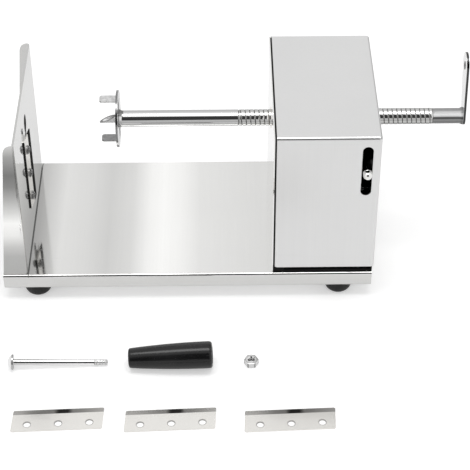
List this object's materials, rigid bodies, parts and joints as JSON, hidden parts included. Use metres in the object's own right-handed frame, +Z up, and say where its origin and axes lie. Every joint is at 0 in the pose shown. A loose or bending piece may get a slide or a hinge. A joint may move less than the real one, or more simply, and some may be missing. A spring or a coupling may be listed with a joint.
{
  "type": "tornado potato cutter",
  "caption": "Hand cranked spiral potato cutter: threaded feed shaft with fork, blade on an upright plate, housing with release lever, tray on rubber feet, loose grip and spare blades.",
  "frame": {"origin": "middle of the tray's flat top face, 30 mm above the table", "axes": "+X along the feed shaft from the blade to the crank, +Z up, -Y the side the release lever sticks out of"},
  "size_m": [0.4571, 0.3664, 0.2201],
  "materials": {
    "tray_steel": "mirror polished stainless sheet with faint lengthwise grain",
    "bracket_steel": "mirror polished stainless sheet",
    "housing_steel": "satin polished stainless sheet",
    "blade_steel": "ground stainless strip with a polished bevel",
    "zinc_steel": "bright zinc plated steel",
    "shaft_steel": "turned and polished steel",
    "fork_steel": "pressed stainless, lightly brushed",
    "bush_brass": "turned brass",
    "foot_rubber": "smooth black rubber",
    "grip_plastic": "glossy black moulded plastic"
  },
  "bodies": {
    "frame": {"base_tray": "tray_steel", "blade_bracket": "bracket_steel", "housing_frame": "housing_steel", "housing_cover": "housing_steel", "cutting_blade": "blade_steel", "spare_blade_1": "blade_steel", "spare_blade_2": "blade_steel", "spare_blade_3": "blade_steel", "foot_screws": "zinc_steel", "foot_washers": "zinc_steel", "foot_nuts": "zinc_steel", "blade_bolts": "zinc_steel", "blade_washers": "zinc_steel", "blade_nuts": "zinc_steel", "bracket_screws": "zinc_steel", "bracket_nuts": "zinc_steel", "frame_screws": "zinc_steel", "frame_nuts": "zinc_steel", "cover_screws": "zinc_steel", "lever_pivot_bolt": "zinc_steel", "lever_spacer": "zinc_steel", "lever_pivot_nut": "zinc_steel", "spring_post": "zinc_steel", "lever_spring": "zinc_steel", "handle_bolt": "zinc_steel", "handle_nut": "zinc_steel", "left_bush": "bush_brass", "right_bush": "bush_brass", "foot_front_left": "foot_rubber", "foot_front_right": "foot_rubber", "foot_back_left": "foot_rubber", "foot_back_right": "foot_rubber", "crank_handle": "grip_plastic"},
    "feed": {"shaft_core": "shaft_steel"},
    "spindle": {"feed_thread": "shaft_steel", "crank_collar": "shaft_steel", "crank_arm": "shaft_steel", "fork_disc": "fork_steel", "skewer_spike": "fork_steel"},
    "lever": {"half_nut": "bush_brass", "half_nut_lever": "shaft_steel", "lever_rod": "shaft_steel"}
  },
  "joints": [
    {"name": "shaft_feed", "type": "slide", "parent": "frame", "child": "feed", "axis": [1, 0, 0], "range_m": [-0.0655, 0.1062]},
    {"name": "crank_spin", "type": "hinge", "parent": "feed", "child": "spindle", "pos_m": [0, -0.0027, 0.127], "axis": [1, 0, 0], "range_deg": [-5220, 8480]},
    {"name": "lever_lift", "type": "hinge", "parent": "frame", "child": "lever", "pos_m": [0.172, 0.0573, 0.145], "axis": [-1, 0, 0], "range_deg": [0, 9.5], "stiffness_Nm_per_rad": 2.6, "springref_deg": -17.19, "deforming": ["lever_spring"]}
  ],
  "couplings": [
    {"joint": "shaft_feed", "follows": "crank_spin", "m_per_rad": 0.0007162}
  ]
}
